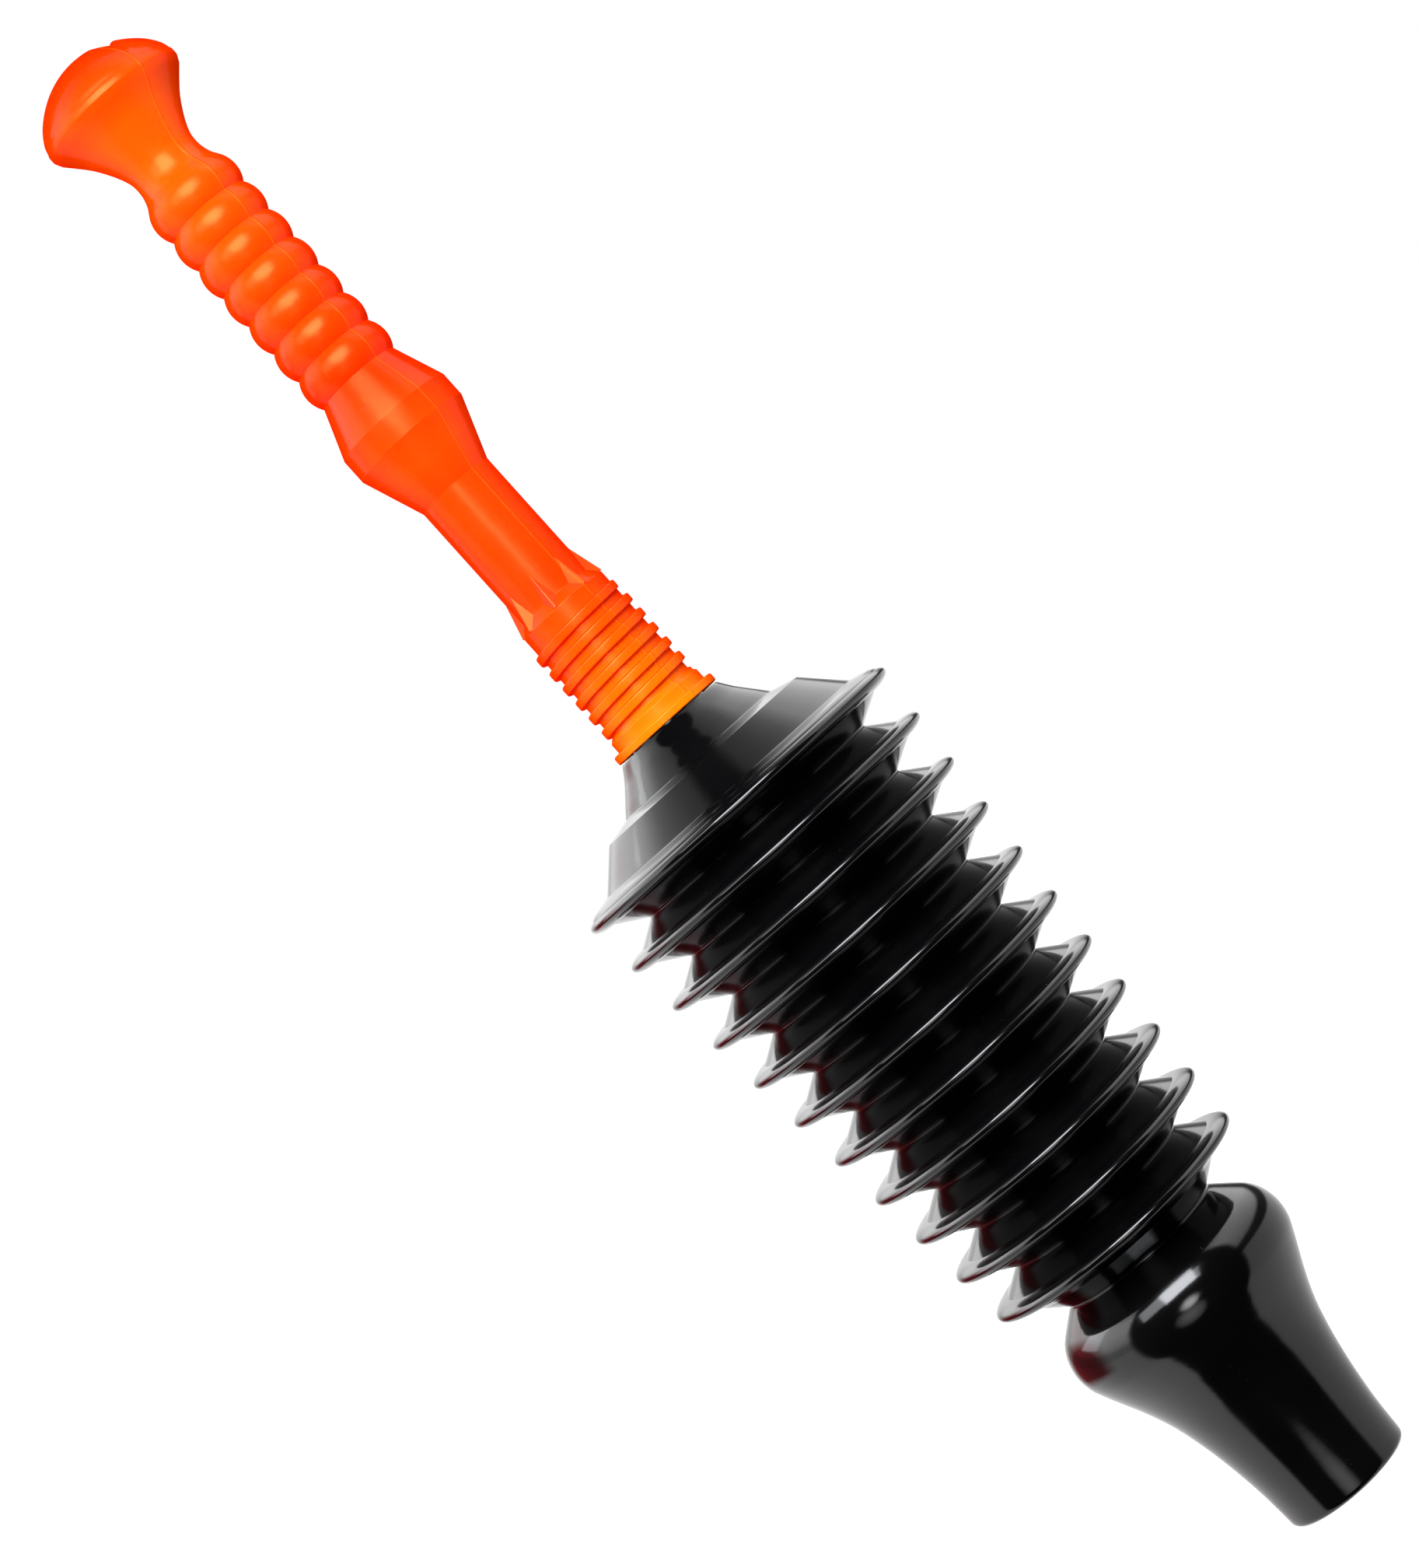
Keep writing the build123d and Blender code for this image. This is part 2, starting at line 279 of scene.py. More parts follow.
class Shape:
    """Vertices in millimetres and faces, gathered before they become one mesh."""

    def __init__(self):
        self.points = []
        self.faces = []

    def add(self, points, faces):
        """Add a closed piece, with its faces turned outwards."""
        points = np.array(points, float)
        volume = 0.0
        for face in faces:
            for k in range(1, len(face) - 1):
                a, b, c = points[face[0]], points[face[k]], points[face[k + 1]]
                volume += np.dot(a, np.cross(b, c))
        if volume < 0:
            faces = [face[::-1] for face in faces]
        base = sum(len(p) for p in self.points)
        self.points.append(points)
        self.faces += [tuple(base + v for v in face) for face in faces]

    def lathe(self, outline, angles, adjust=None):
        """Turn a closed outline about Z. adjust changes the array of points in place."""
        ids = []
        points = []
        for r, z in outline:
            if r < 1e-6:
                ids.append([len(points)] * len(angles))
                points.append((0.0, 0.0, z))
                continue
            ids.append(list(range(len(points), len(points) + len(angles))))
            points += [(r * cos(a), r * sin(a), z) for a in angles]
        points = np.array(points)
        if adjust:
            adjust(points)
        faces = []
        closed = outline[0][0] >= 1e-6 or outline[-1][0] >= 1e-6
        pairs = list(zip(ids, ids[1:] + ids[:1])) if closed else list(zip(ids, ids[1:]))
        for upper, lower in pairs:
            for k in range(len(angles)):
                n = (k + 1) % len(angles)
                corners = (upper[k], lower[k], lower[n], upper[n])
                face = tuple(dict.fromkeys(corners))
                if len(face) > 2:
                    faces.append(face)
        self.add(points, faces)

    def helix(self, radius, top_z, turns, section, angles, fade, adjust=None):
        """Wind a closed section of (height, along Z) pairs round the axis, shrinking at both ends."""
        steps = [a + 2 * pi * n for n in range(int(turns)) for a in angles] + [2 * pi * turns]
        points = []
        for step in steps:
            ease = min(1.0, (2 * pi * turns - step) / fade, step / fade)
            z = top_z - (turns - step / (2 * pi)) * THREAD_PITCH
            for height, along in section:
                if height > 0:
                    height *= THREAD_END_HEIGHT + (1 - THREAD_END_HEIGHT) * ease
                width = THREAD_END_WIDTH + (1 - THREAD_END_WIDTH) * ease
                r = radius + height
                points.append((r * cos(step), r * sin(step), z + along * width))
        points = np.array(points)
        if adjust:
            adjust(points)
        m = len(section)
        faces = []
        for i in range(len(steps) - 1):
            for k in range(m):
                n = (k + 1) % m
                faces.append((i * m + k, i * m + n, (i + 1) * m + n, (i + 1) * m + k))
        last = (len(steps) - 1) * m
        faces.append(tuple(range(m))[::-1])
        faces.append(tuple(last + k for k in range(m)))
        self.add(points, faces)

    def mesh(self, name, material):
        """The gathered pieces as one object in metres."""
        mesh = bpy.data.meshes.new(name)
        mesh.from_pydata((np.vstack(self.points) * MM).tolist(), [], self.faces)
        mesh.validate()
        mesh.polygons.foreach_set("use_smooth", [True] * len(mesh.polygons))
        mesh.set_sharp_from_angle(angle=radians(SHARP_ANGLE))
        mesh.materials.append(material)
        obj = bpy.data.objects.new(name, mesh)
        bpy.context.scene.collection.objects.link(obj)
        return obj


def even_angles(count):
    """Equal steps round a full turn."""
    return list(np.arange(count) * 2 * pi / count)


def seam_angles(count):
    """Equal steps round a full turn, with extra ones where the parting seams run."""
    spread = (-2.6, -1.7, -1.1, -0.6, 0.0, 0.6, 1.1, 1.7, 2.6)
    extra = [radians(seam + step) % (2 * pi) for seam in SEAM_ANGLES for step in spread]
    keep = [a for a in even_angles(count) if all(abs(a - e) > radians(0.4) for e in extra)]
    return sorted(keep + extra)


def raise_seams(points):
    """Lift the fine parting seams of the handle."""
    r = np.hypot(points[:, 0], points[:, 1])
    turn = np.arctan2(points[:, 1], points[:, 0])
    lift = np.zeros(len(points))
    for seam in SEAM_ANGLES:
        off = (turn - radians(seam) + pi) % (2 * pi) - pi
        lift += SEAM_HEIGHT * np.exp(-((r * off / SEAM_HALF_WIDTH) ** 2))
    lift *= np.clip((r - 10.0) / 3.0, 0, 1)
    scale = 1 + lift / np.maximum(r, 1)
    points[:, 0] *= scale
    points[:, 1] *= scale


def press_crease(points):
    """Sink the pinched-off crease across the top of the dome."""
    along = np.array(CREASE_DIRECTION)
    across = np.array((-along[1], along[0]))
    flat = points[:, :2] - np.array(CREASE_POINT)
    t = flat @ along
    s = flat @ across
    gentle = np.clip(1 + s / CREASE_GENTLE, 0, 1) ** 1.25
    steep = np.clip(1 - s / CREASE_STEEP, 0, 1)
    far = np.clip((CREASE_FAR_END - t) / CREASE_FAR_FADE, 0, 1) ** 1.2
    near = np.clip((t - CREASE_NEAR_END) / CREASE_NEAR_FADE, 0, 1)
    top = points[:, 2] > DOME_FOOT_Z
    points[:, 2] -= top * CREASE_DEPTH * np.where(s < 0, gentle, steep) * (far * near)


# ---------------------------------------------------------------- the handle


def grip_points(inset):
    """The finger beads, from the top down, moved inwards by the inset."""
    steps = 14
    half = GRIP_PITCH / 2
    rise = GRIP_BEAD_R - GRIP_GROOVE_R
    radius = (half**2 + rise**2) / (2 * rise)
    reach = np.arcsin(half / radius)
    out = []
    for number in range(GRIP_BEADS):
        middle = GRIP_BOTTOM_Z + (GRIP_BEADS - number - 0.5) * GRIP_PITCH
        bead = np.linspace(reach, -reach, steps + 1)
        for a in bead if number == GRIP_BEADS - 1 else bead[:-1]:
            out.append((GRIP_BEAD_R - radius + radius * cos(a) - inset, middle + radius * sin(a)))
    return out


def handle_outline():
    """The handle's outer outline from the apex of the dome down to the flange's foot."""
    dome = smooth(
        [
            (0, TOTAL_HEIGHT),
            (7.1, 630.3),
            (13.1, 628.2),
            (18.3, 625.1),
            (23.0, 621.0),
            (26.0, 616.8),
            (27.1, 613.6),
        ],
        8,
    )
    rim = filleted([(27.1, 613.6), (27.35, 613.1), (27.35, 611.2, 0.8), (26.3, 609.1), (25.6, 608.3)], 4)
    flare = smooth(
        [
            (25.6, 608.3),
            (22.6, 604.9),
            (19.3, 600.8),
            (16.2, 595.8),
            (13.9, 591.0),
            (12.9, 587.3),
            (13.0, 583.2),
            (14.0, 579.6),
            (GRIP_GROOVE_R, GRIP_BOTTOM_Z + GRIP_BEADS * GRIP_PITCH),
        ]
    )
    grip = grip_points(0)
    lower = filleted(
        [
            grip[-1],
            (BULGE_R, BULGE_TOP_Z, 0.7),
            (BULGE_R, BULGE_FOOT_Z, 0.7),
            (SHANK_R, SHANK_TOP_Z, 2.0),
            (SHANK_R, SHANK_FOOT_Z, 0.6),
            (SOCKET_ROOT_R, SOCKET_SHOULDER_Z, 0.7),
            (SOCKET_ROOT_R, BAND_TOP_Z, 0.5),
            (BAND_R, 344.2, 0.5),
            (BAND_R, FLANGE_TOP_Z, 0.4),
            (FLANGE_R, FLANGE_TOP_Z, 0.7),
            (FLANGE_R, FLANGE_FOOT_Z, 0.5),
            (17.4, FLANGE_FOOT_Z),
        ]
    )
    return dome + rim[1:] + flare[1:] + grip[1:] + lower[1:]


def handle_hollow():
    """The handle's inner outline from the flange's foot up to under the dome."""
    shank_r = SHANK_R - HANDLE_WALL
    bulge_r = BULGE_R - HANDLE_WALL
    lower = [
        (17.4, 340.5),
        (SOCKET_BORE_R, BAND_TOP_Z),
        (SOCKET_BORE_R, SOCKET_ROOF_Z + SEAL_GAP),
        (shank_r, SOCKET_ROOF_Z + SEAL_GAP),
        (shank_r, SHANK_TOP_Z),
        (bulge_r, BULGE_FOOT_Z),
        (bulge_r, BULGE_TOP_Z),
    ]
    grip = grip_points(HANDLE_WALL)[::-1][::2]
    knob = [(10.7, 587.3), (14.0, 596.0), (23.6, 609.0), (25.0, 612.6)]
    knob += [(20.4, 620.6), (10.6, 626.4), (0, 628.2)]
    return lower + grip + knob


def add_gusset(shape, number):
    """A bevelled wedge that braces the shank against the socket. Its corners are (outwards, along, z)."""
    turn = radians(GUSSET_TURN + number * 360 / GUSSET_COUNT)
    c, s = cos(turn), sin(turn)
    corners = [
        (13.8, -0.12, 403.6),
        (13.8, 0.12, 403.6),
        (17.6, 0.25, 389.7),
        (17.6, -0.25, 389.7),
        (13.2, 4.2, 388.8),
        (13.2, -4.2, 388.8),
    ]
    points = [(r * c - a * s, r * s + a * c, z) for r, a, z in corners]
    faces = [(0, 1, 2, 3), (1, 4, 2), (0, 3, 5), (3, 2, 4, 5), (0, 5, 4, 1)]
    shape.add(points, faces)


# the threads' sections, as (height, along Z) pairs
RIB_SECTION = [
    (-0.4, -1.95),
    (1.30, -1.60),
    (1.56, -1.50),
    (1.68, -1.30),
    (1.72, -0.9),
    (1.72, 0.9),
    (1.68, 1.30),
    (1.56, 1.50),
    (1.30, 1.60),
    (-0.4, 1.95),
]
NECK_THREAD_SECTION = [(-0.4, -1.0), (1.4, -0.6), (1.4, 0.6), (-0.4, 1.0)]


def build_handle(material):
    """The whole orange moulding."""
    angles = seam_angles(COLUMNS)

    def adjust(points):
        """Both details of the turned shell."""
        raise_seams(points)
        press_crease(points)

    shape = Shape()
    shape.lathe(handle_outline() + handle_hollow(), angles, adjust)
    shape.helix(SOCKET_ROOT_R, RIB_TOP_Z, RIB_TURNS, RIB_SECTION, angles, radians(16), raise_seams)
    for number in range(GUSSET_COUNT):
        add_gusset(shape, number)
    obj = shape.mesh("handle_shell", material)
    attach(obj, "handle")
    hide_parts("handle")
    # left out of reflections, so that the black shoulder shows no orange
    obj.visible_glossy = False


# ---------------------------------------------------------------- the bellows


def build_bead(number, material):
    """The rounded rim of one ring."""
    r = ring_r(number) - BEAD_DEPTH
    z = ring_z(number)
    outer = ellipse(r, z, BEAD_DEPTH, BEAD_HALF, 19)
    inner = ellipse(r, z, BEAD_DEPTH - WALL, BEAD_HALF - WALL, 7)[::-1]
    shape = Shape()
    shape.lathe(outer + inner, even_angles(FINE_COLUMNS))
    obj = shape.mesh("bead_%02d" % number, material)
    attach(obj, "ring_%02d" % number)
    if number > 1:
        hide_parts("convolution_%02d" % number)


def build_fold(number, material):
    """The V between a ring and the one below it."""
    upper_r = ring_r(number) - BEAD_DEPTH
    lower_r = ring_r(number + 1) - BEAD_DEPTH
    upper_z = ring_z(number) - BEAD_HALF
    lower_z = ring_z(number + 1) + BEAD_HALF
    root_r = (ring_r(number) + ring_r(number + 1)) / 2 - FOLD_DEPTH
    root_z = ring_z(number) - RING_PITCH / 2
    outer = filleted(
        [
            (upper_r + 0.6, upper_z + 0.4),
            (upper_r, upper_z),
            (root_r, root_z, FOLD_ROOT_ROUND),
            (lower_r, lower_z),
            (lower_r + 0.6, lower_z - 0.4),
        ]
    )
    inner = [
        (lower_r + 0.6, lower_z - 1.1),
        (lower_r - 0.4, lower_z - 1.3),
        (root_r - FOLD_ROOT_INSET, root_z),
        (upper_r - 0.4, upper_z + 1.3),
        (upper_r + 0.6, upper_z + 1.1),
    ]
    shape = Shape()
    shape.lathe(divided(outer, 2.2) + divided(inner, 3.0), even_angles(COLUMNS))
    obj = shape.mesh("fold_%02d_%02d" % (number, number + 1), material)
    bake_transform(obj)


def build_shoulder(material):
    """The cone above the top ring, the trumpet flare and the tube of the neck, in one piece."""
    cone = filleted(
        [
            (63.2, 304.2),
            (62.7, 304.95),
            (60.9, 305.9, 1.2),
            (54.0, 307.5, 1.8),
            (51.6, 309.9),
            (SHOULDER_R, SHOULDER_Z, 0.3),
            (36.6, 321.2),
            (32.3, 322.3, 1.6),
            (29.6, 325.6),
        ],
        7,
    )
    flare = [(29.6, 325.6), (27.8, 327.7), (26.2, 329.6), (24.7, 331.4), (23.3, 333.3), (21.2, 336.4)]
    tube = filleted(
        [
            (21.2, 336.4),
            (20.8, 336.8),
            (NECK_CORE_R, 336.8),
            (NECK_CORE_R, NECK_TOP_Z - SEAL_GAP),
            (NECK_BORE_R, NECK_TOP_Z - SEAL_GAP),
            (NECK_BORE_R, NECK_BASE_Z),
        ]
    )
    outer = divided(cone, 1.6) + smooth(flare, 4)[1:] + divided(tube, 8.0)[1:]
    inner = [(19.6, 334.0), (24.6, 328.0), (30.4, 321.6), (39.8, 318.8)]
    inner += [(50.6, 308.4), (57.0, 304.1), (61.0, 303.4)]
    shape = Shape()
    shape.lathe(outer + inner, even_angles(FINE_COLUMNS))
    obj = shape.mesh("shoulder_shell", material)
    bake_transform(obj)
    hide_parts("bellows_neck", "bellows_top")


def build_neck_thread(material):
    """The thread round the neck, which the handle screws onto."""
    top_z = RIB_TOP_Z - THREAD_PITCH
    angles = even_angles(THREAD_COLUMNS)
    shape = Shape()
    shape.helix(NECK_CORE_R, top_z, NECK_THREAD_TURNS, NECK_THREAD_SECTION, angles, radians(20))
    obj = shape.mesh("neck_thread", material)
    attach(obj, "neck")


def build_nozzle(material):
    """The swelling below the last ring and the taper down to the rounded lip."""
    top_r = ring_r(RING_COUNT) - BEAD_DEPTH
    top_z = ring_z(RING_COUNT) - BEAD_HALF
    fold = filleted(
        [
            (top_r + 0.6, top_z + 0.4),
            (top_r, top_z),
            (39.3, 111.8, 1.2),
            (30.0, 104.5, 0.7),
            (37.0, 98.8),
        ]
    )
    body = smooth(
        [
            (37.0, 98.8),
            (40.4, 95.8),
            (42.8, 92.3),
            (44.2, 88.2),
            (44.6, 84.0),
            (43.9, 79.4),
            (42.0, 74.8),
            (39.3, 69.2),
            (36.5, 63.5),
            (33.6, 56.8),
            (31.2, 50.0),
            (28.9, 41.0),
            (27.2, 32.5),
            (25.8, 23.5),
            (24.8, 15.0),
            (24.3, 8.0),
            (LIP_R, LIP_ROUND),
        ],
        5,
    )
    turn = np.linspace(0.2, pi / 2, 7)
    lip = [(LIP_R - LIP_ROUND * (1 - cos(a)), LIP_ROUND * (1 - sin(a))) for a in turn]
    outer = divided(fold, 1.6) + body[1:] + lip
    inner = [(20.9, 0.0), (20.4, 0.5), (22.4, 15.0), (24.8, 32.5), (28.8, 50.0), (34.1, 63.5), (39.9, 76.0)]
    inner += [(42.6, 87.0), (41.4, 91.8), (37.0, 96.6), (27.4, 104.5), (42.2, 115.2)]
    inner.append((top_r + 0.6, top_z + 1.1))
    shape = Shape()
    shape.lathe(outer + inner, even_angles(FINE_COLUMNS))
    obj = shape.mesh("nozzle_shell", material)
    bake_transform(obj)
    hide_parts("nozzle")


# ---------------------------------------------------------------- materials


class Nodes:
    """A short way to write a node tree."""

    def __init__(self, tree):
        self.tree = tree
        tree.nodes.clear()

    def put(self, socket, value):
        """Link an output to a socket, or set the socket's own value."""
        if isinstance(value, bpy.types.NodeSocket):
            self.tree.links.new(value, socket)
        else:
            socket.default_value = value

    def add(self, kind, settings=None, **inputs):
        """A node with its settings. Its inputs go by name, with _ for a space, or by number as i0, i1."""
        made = self.tree.nodes.new(kind)
        for key, value in (settings or {}).items():
            setattr(made, key, value)
        for key, value in inputs.items():
            numbered = key[0] == "i" and key[1:].isdigit()
            self.put(made.inputs[int(key[1:]) if numbered else key.replace("_", " ")], value)
        return made

    def math(self, operation, a, b=0.0):
        """The result of one sum."""
        return self.add("ShaderNodeMath", {"operation": operation}, i0=a, i1=b).outputs[0]

    def ramp(self, value, stops):
        """A colour for a value from 0 to 1."""
        made = self.add("ShaderNodeValToRGB", Fac=value)
        elements = made.color_ramp.elements
        while len(elements) < len(stops):
            elements.new(0.5)
        for element, (place, colour) in zip(elements, stops):
            element.position = place
            element.color = (*colour, 1.0)
        return made.outputs["Color"]

    def span(self, value, low, high, out_low, out_high):
        """A value moved from one range to another, and held inside it."""
        ends = {"From_Min": low, "From_Max": high, "To_Min": out_low, "To_Max": out_high}
        return self.add("ShaderNodeMapRange", Value=value, **ends).outputs["Result"]

    def noise(self, vector, scale, detail=2.0, roughness=0.5):
        """Noise at a scale in repeats a metre."""
        fineness = {"Scale": scale, "Detail": detail, "Roughness": roughness}
        return self.add("ShaderNodeTexNoise", Vector=vector, **fineness).outputs["Fac"]

    def mix(self, factor, a, b):
        """Two colours mixed."""
        a, b = (c if isinstance(c, bpy.types.NodeSocket) else (*c, 1.0) for c in (a, b))
        return self.add("ShaderNodeMix", {"data_type": "RGBA"}, i0=factor, i6=a, i7=b).outputs[2]

    def dot(self, vector, other):
        """The dot product of a vector and a fixed one."""
        made = self.add("ShaderNodeVectorMath", {"operation": "DOT_PRODUCT"}, i0=vector, i1=other)
        return made.outputs["Value"]

    def toward(self, vector, way):
        """How closely a direction points one way, up to 1."""
        return self.dot(vector, Vector(way).normalized())

    def stretched(self, vector, x, y, z):
        """Coordinates stretched along each axis."""
        return self.add("ShaderNodeMapping", Vector=vector, Scale=(x, y, z)).outputs["Vector"]


def new_material(name):
    """An empty node material and its tree."""
    material = bpy.data.materials.new(name)
    material.use_nodes = True
    return material, Nodes(material.node_tree)


def finish_material(nodes, normal, colour, roughness, **more):
    """The surface shader and the output."""
    inputs = {"Base_Color": colour, "Roughness": roughness, "Normal": normal, **more}
    shader = nodes.add("ShaderNodeBsdfPrincipled", **inputs)
    nodes.add("ShaderNodeOutputMaterial", Surface=shader.outputs[0])


def bumped(nodes, height, strength, distance, normal=None):
    """A surface normal tilted by a height."""
    made = nodes.add("ShaderNodeBump", Height=height, Strength=strength, Distance=distance)
    if normal:
        nodes.put(made.inputs["Normal"], normal)
    return made.outputs["Normal"]


def orange_plastic():
    """Satin orange polyethylene with cloudy patches, a painted highlight along the seam, painted light and
    shade by height, fine grain and scuffs.

    Towards its edges the colour deepens as painted shade, and the sheen fades.
    """
    material, nodes = new_material("orange_polyethylene")
    place = nodes.add("ShaderNodeTexCoord").outputs["Object"]
    height = nodes.add("ShaderNodeSeparateXYZ", Vector=place).outputs["Z"]
    share = nodes.span(height, 0.337, 0.631, 0.0, 1.0)
    # the base orange by height, with painted light and shade in it
    along = nodes.ramp(share, ORANGE_WITH_PAINTED_LIGHT_BY_HEIGHT)
    cloudy = nodes.span(nodes.noise(place, 28.0, 3.0), 0.35, 0.65, 0.0, 0.16)
    colour = nodes.mix(cloudy, along, ORANGE_CLOUD)
    # painted highlight: the colour is lighter along the parting seam
    across = nodes.math("ABSOLUTE", nodes.dot(place, SEAM_NORMAL))
    seam = nodes.span(across, 0.00018, 0.00050, 0.16, 0.0)
    colour = nodes.mix(seam, colour, ORANGE_SEAM_HIGHLIGHT)
    scuffs = nodes.noise(nodes.stretched(place, 900.0, 900.0, 90.0), 1.0, 4.0, 0.65)
    worn = nodes.span(scuffs, 0.62, 0.78, 0.0, 1.0)
    colour = nodes.mix(nodes.math("MULTIPLY", worn, 0.18), colour, ORANGE_SCUFF)
    facing = nodes.add("ShaderNodeLayerWeight", Blend=0.5).outputs["Facing"]
    # painted shade: the base colour deepens towards the grazing edges
    colour = nodes.mix(nodes.span(facing, 0.25, 0.80, 0.0, 0.7), colour, ORANGE_EDGE_SHADE)
    sheen = nodes.span(facing, 0.15, 0.55, 0.45, 0.0)
    grain = nodes.noise(place, 2600.0)
    drift = nodes.noise(place, 60.0)
    rough = nodes.span(drift, 0.3, 0.7, 0.21, 0.28)
    rough = nodes.math("ADD", rough, nodes.math("MULTIPLY", worn, 0.12))
    normal = bumped(nodes, grain, 0.10, 0.0003)
    normal = bumped(nodes, drift, 0.10, 0.002, normal)
    finish_material(
        nodes,
        normal,
        colour,
        rough,
        IOR=1.40,
        Specular_IOR_Level=sheen,
        Specular_Tint=(1.0, 0.62, 0.18, 1.0),
        Subsurface_Weight=0.22,
        Subsurface_Radius=(1.0, 0.12, 0.02),
        Subsurface_Scale=0.006,
    )
    return material


def black_plastic():
    """Glossy black polyethylene, slightly uneven, with dust specks and fine rub marks."""
    material, nodes = new_material("black_polyethylene")
    place = nodes.add("ShaderNodeTexCoord").outputs["Object"]
    specks = nodes.span(nodes.noise(place, 1500.0, 1.0), 0.77, 0.80, 0.0, 1.0)
    patches = nodes.span(nodes.noise(place, 35.0), 0.5, 0.7, 0.0, 1.0)
    dust = nodes.math("MULTIPLY", specks, patches)
    cloudy = nodes.span(nodes.noise(place, 22.0, 3.0), 0.3, 0.7, 0.0, 1.0)
    colour = nodes.mix(cloudy, BLACK_DEEP, BLACK_PALE)
    colour = nodes.mix(nodes.math("MULTIPLY", dust, 0.5), colour, DUST)
    streaks = nodes.noise(nodes.stretched(place, 220.0, 220.0, 1400.0), 1.0, 4.0, 0.7)
    rubs = nodes.span(streaks, 0.60, 0.80, 0.0, 1.0)
    rough = nodes.span(nodes.noise(place, 45.0), 0.3, 0.7, 0.09, 0.15)
    rough = nodes.math("ADD", rough, nodes.math("MULTIPLY", rubs, 0.12))
    rough = nodes.math("ADD", rough, nodes.math("MULTIPLY", dust, 0.3))
    wave = nodes.noise(place, 38.0, 1.0)
    ripple = nodes.noise(place, 420.0)
    normal = bumped(nodes, wave, 0.10, 0.002)
    normal = bumped(nodes, ripple, 0.03, 0.0004, normal)
    finish_material(nodes, normal, colour, rough, IOR=1.5)
    return material


def seal_rubber():
    """Matt black elastomer."""
    material, nodes = new_material("black_elastomer")
    place = nodes.add("ShaderNodeTexCoord").outputs["Object"]
    cloudy = nodes.span(nodes.noise(place, 300.0, 3.0), 0.3, 0.7, 0.0, 1.0)
    colour = nodes.mix(cloudy, (0.020, 0.020, 0.022), (0.045, 0.044, 0.045))
    rough = nodes.span(nodes.noise(place, 900.0), 0.3, 0.7, 0.65, 0.85)
    normal = bumped(nodes, nodes.noise(place, 2200.0), 0.2, 0.0003)
    finish_material(nodes, normal, colour, rough)
    return material


def floor_paper():
    """The pale floor, bright enough to read as plain white paper."""
    material, nodes = new_material("pale_floor")
    place = nodes.add("ShaderNodeTexCoord").outputs["Object"]
    colour = nodes.mix(nodes.noise(place, 4.0), (0.90, 0.90, 0.90), (0.92, 0.92, 0.92))
    grain = bumped(nodes, nodes.noise(place, 600.0), 0.05, 0.0005)
    glow = {"Emission_Color": (*WHITE, 1.0), "Emission_Strength": FLOOR_GLOW}
    finish_material(nodes, grain, colour, 0.9, **glow)
    return material


# ---------------------------------------------------------------- studio


def build_floor():
    """A plain sheet under the nozzle. The camera sees it, but it throws no light on the object."""
    mesh = bpy.data.meshes.new("floor")
    corners = [(x * FLOOR_HALF, y * FLOOR_HALF, 0) for x, y in ((-1, -1), (1, -1), (1, 1), (-1, 1))]
    mesh.from_pydata(corners, [], [(0, 1, 2, 3)])
    mesh.materials.append(floor_paper())
    floor = bpy.data.objects.new("floor", mesh)
    bpy.context.scene.collection.objects.link(floor)
    floor.visible_glossy = False
    floor.visible_diffuse = False


def wall_brightness(nodes, x, y, z):
    """White walls at the sides and behind, with a dark strip overhead and a gap above the horizon."""
    flat = nodes.math("ADD", nodes.math("MULTIPLY", x, x), nodes.math("MULTIPLY", y, y))
    level = nodes.math("MAXIMUM", nodes.math("SQRT", flat), 0.0001)
    front = nodes.math("DIVIDE", nodes.math("MULTIPLY", y, -1.0), level)
    walls = nodes.span(front, 0.40, 0.48, 1.0, 0.0)
    side = nodes.span(x, -0.8, 0.8, 1.20, 0.80)
    stops = [(place, (brightness / WALL_SCALE,) * 3) for place, brightness in WALL_BY_HEIGHT]
    height = nodes.ramp(nodes.span(z, -1.0, 1.0, 0.0, 1.0), stops)
    above_horizon = nodes.span(z, 0.01, 0.05, 0.0, 1.0)
    gap = nodes.math("MULTIPLY", above_horizon, nodes.span(z, 0.20, 0.26, 1.0, 0.0))
    left_gap = nodes.math("MULTIPLY", gap, nodes.span(x, -0.25, -0.05, 0.30, 0.0))
    right_gap = nodes.math("MULTIPLY", gap, nodes.span(x, 0.05, 0.25, 0.0, 0.95))
    kept = nodes.math("SUBTRACT", nodes.math("SUBTRACT", 1.0, left_gap), right_gap)
    strip = nodes.span(nodes.math("ABSOLUTE", x), 0.11, 0.19, 1.0, 0.0)
    strip = nodes.math("MULTIPLY", strip, nodes.span(z, 0.70, 0.80, 0.0, 1.0))
    kept = nodes.math("MULTIPLY", kept, nodes.math("SUBTRACT", 1.0, strip))
    bright = nodes.math("MULTIPLY", nodes.math("MULTIPLY", walls, side), nodes.math("MULTIPLY", height, kept))
    return nodes.math("MULTIPLY", bright, WALL_SCALE)


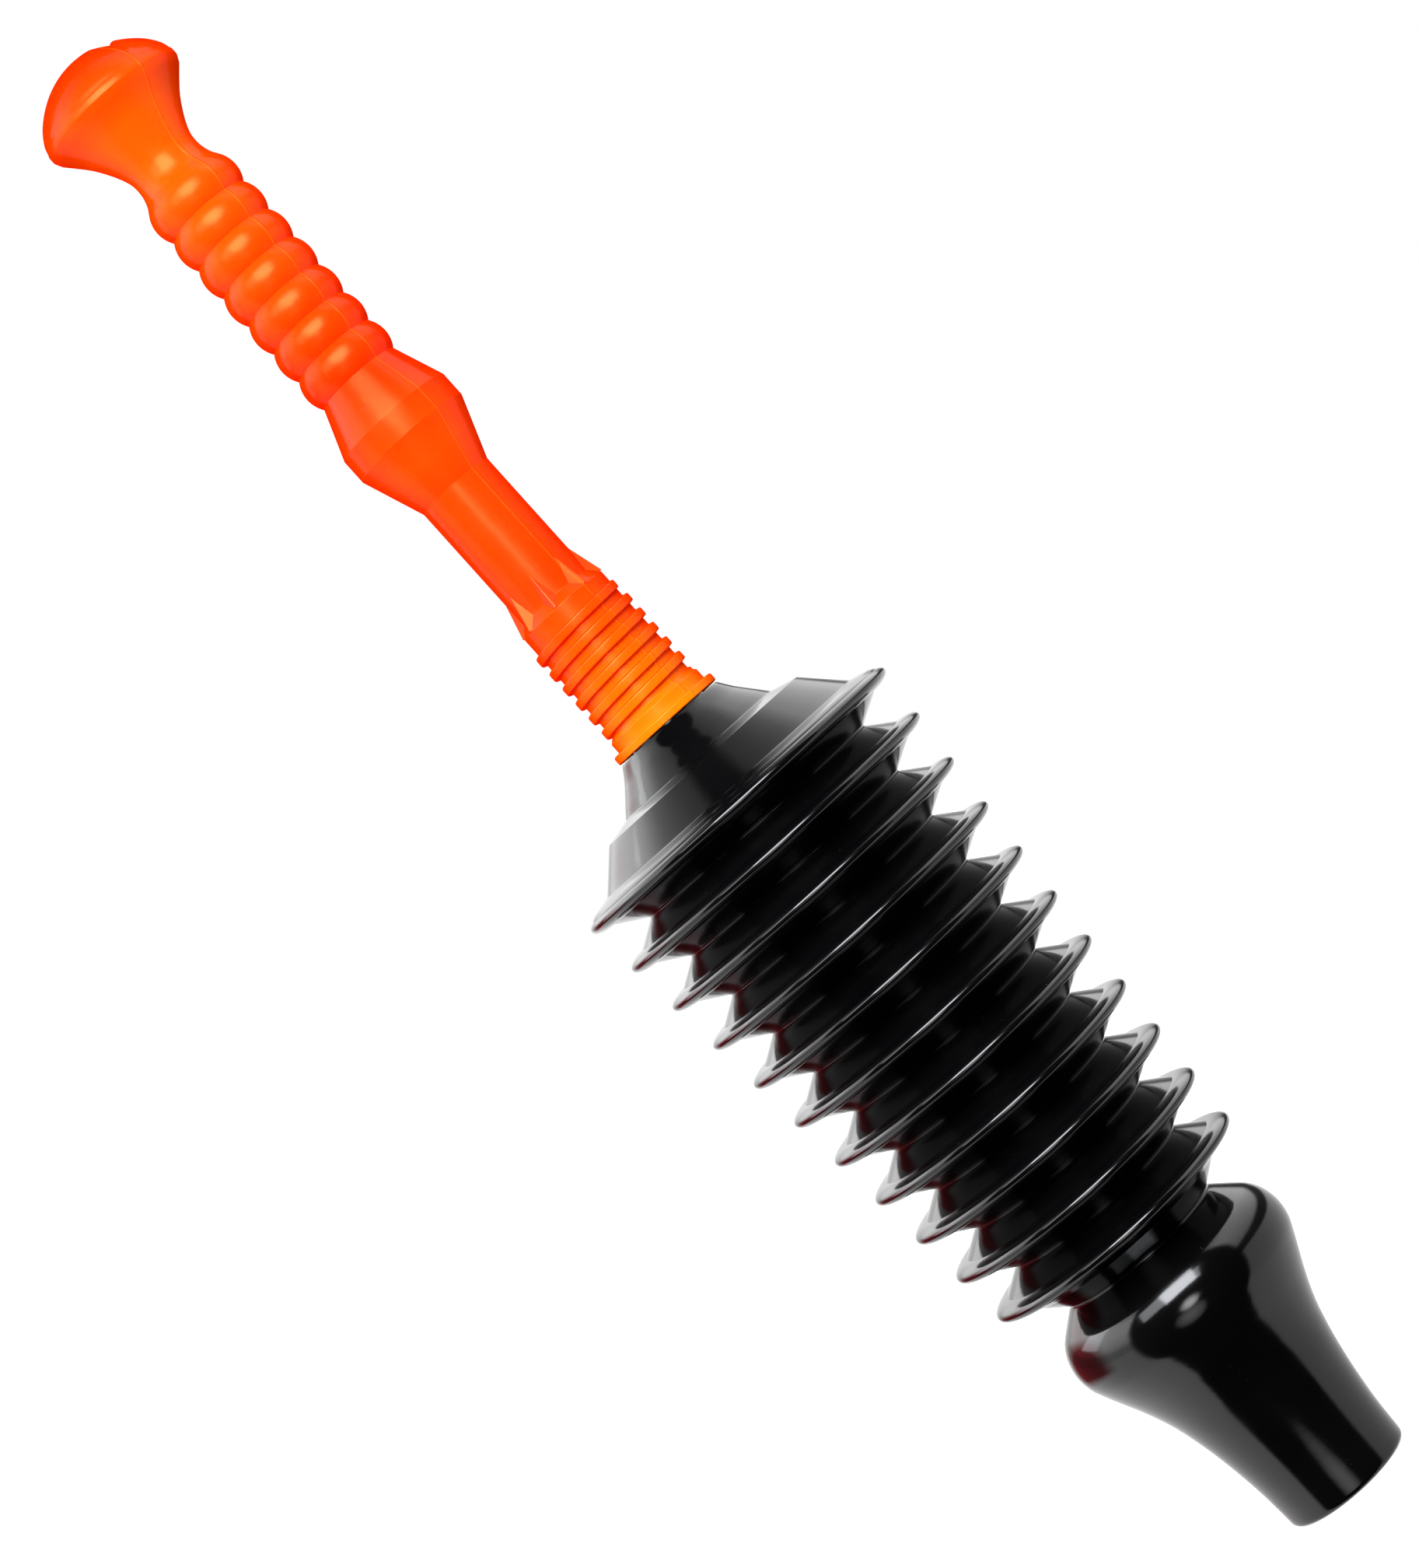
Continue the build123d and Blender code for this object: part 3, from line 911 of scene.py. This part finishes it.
def build_world():
    """The room round the object, by direction. The camera sees plain white in its place."""
    world = bpy.data.worlds.new("studio")
    world.use_nodes = True
    bpy.context.scene.world = world
    nodes = Nodes(world.node_tree)
    way = nodes.add("ShaderNodeTexCoord").outputs["Generated"]
    axes = nodes.add("ShaderNodeSeparateXYZ", Vector=way)
    x, y, z = axes.outputs["X"], axes.outputs["Y"], axes.outputs["Z"]
    strength = nodes.math("ADD", wall_brightness(nodes, x, y, z), ROOM_LEVEL)
    glow = nodes.span(nodes.toward(way, GLOW_WAY), 0.955, 1.0, 0.0, GLOW_LEVEL)
    window = nodes.span(nodes.toward(way, WINDOW_WAY), 0.982, 1.0, 0.0, WINDOW_LEVEL)
    strength = nodes.math("ADD", strength, nodes.math("ADD", glow, window))
    red = nodes.span(nodes.toward(way, RED_WAY), 0.80, 0.93, 0.0, 1.0)
    red = nodes.math("MULTIPLY", red, nodes.span(z, -0.28, -0.18, 0.0, 1.0))
    room = nodes.add("ShaderNodeBackground", Color=nodes.mix(red, WHITE, DULL_RED), Strength=strength)
    plain = nodes.add("ShaderNodeBackground", Color=(*WHITE, 1.0), Strength=1.0)
    seen = nodes.add("ShaderNodeLightPath").outputs["Is Camera Ray"]
    shown = nodes.add("ShaderNodeMixShader", i0=seen, i1=room.outputs[0], i2=plain.outputs[0])
    nodes.add("ShaderNodeOutputWorld", Surface=shown.outputs[0])


def add_light(name, place, target, width, height, watts):
    """A soft rectangular light aimed at a point."""
    data = bpy.data.lights.new(name, "AREA")
    data.shape = "RECTANGLE"
    data.size = width
    data.size_y = height
    data.energy = watts
    data.color = COOL
    light = bpy.data.objects.new(name, data)
    light.location = place
    light.rotation_euler = (Vector(target) - Vector(place)).to_track_quat("-Z", "Y").to_euler()
    light.visible_camera = False
    bpy.context.scene.collection.objects.link(light)


def build_camera():
    """A camera that looks along +Y, rolled so that the handle points to the upper left."""
    data = bpy.data.cameras.new("camera")
    data.sensor_fit = "VERTICAL"
    data.sensor_height = SENSOR
    data.lens = SENSOR * CAMERA_DISTANCE / VIEW_HEIGHT
    data.clip_start = 0.05
    camera = bpy.data.objects.new("camera", data)
    roll = radians(CAMERA_ROLL)
    right = Vector((cos(roll), 0, -sin(roll)))
    up = Vector((sin(roll), 0, cos(roll)))
    back = Vector((0, -1, 0))
    turn = Matrix((right, up, back)).transposed().to_4x4()
    place = (VIEW_CENTRE[0], -CAMERA_DISTANCE, VIEW_CENTRE[1])
    camera.matrix_world = Matrix.Translation(place) @ turn
    bpy.context.scene.collection.objects.link(camera)
    bpy.context.scene.camera = camera


def main():
    """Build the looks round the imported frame."""
    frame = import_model()
    orange = orange_plastic()
    black = black_plastic()
    build_handle(orange)
    for number in range(1, RING_COUNT + 1):
        build_bead(number, black)
    for number in range(1, RING_COUNT):
        build_fold(number, black)
    build_shoulder(black)
    build_neck_thread(black)
    build_nozzle(black)
    seal = frame["nodes"]["neck_seal"]
    seal.data.materials.clear()
    seal.data.materials.append(seal_rubber())
    build_floor()
    build_world()
    for light in LIGHTS:
        add_light(*light)
    build_camera()
    bpy.context.scene.view_settings.view_transform = "Standard"


main()
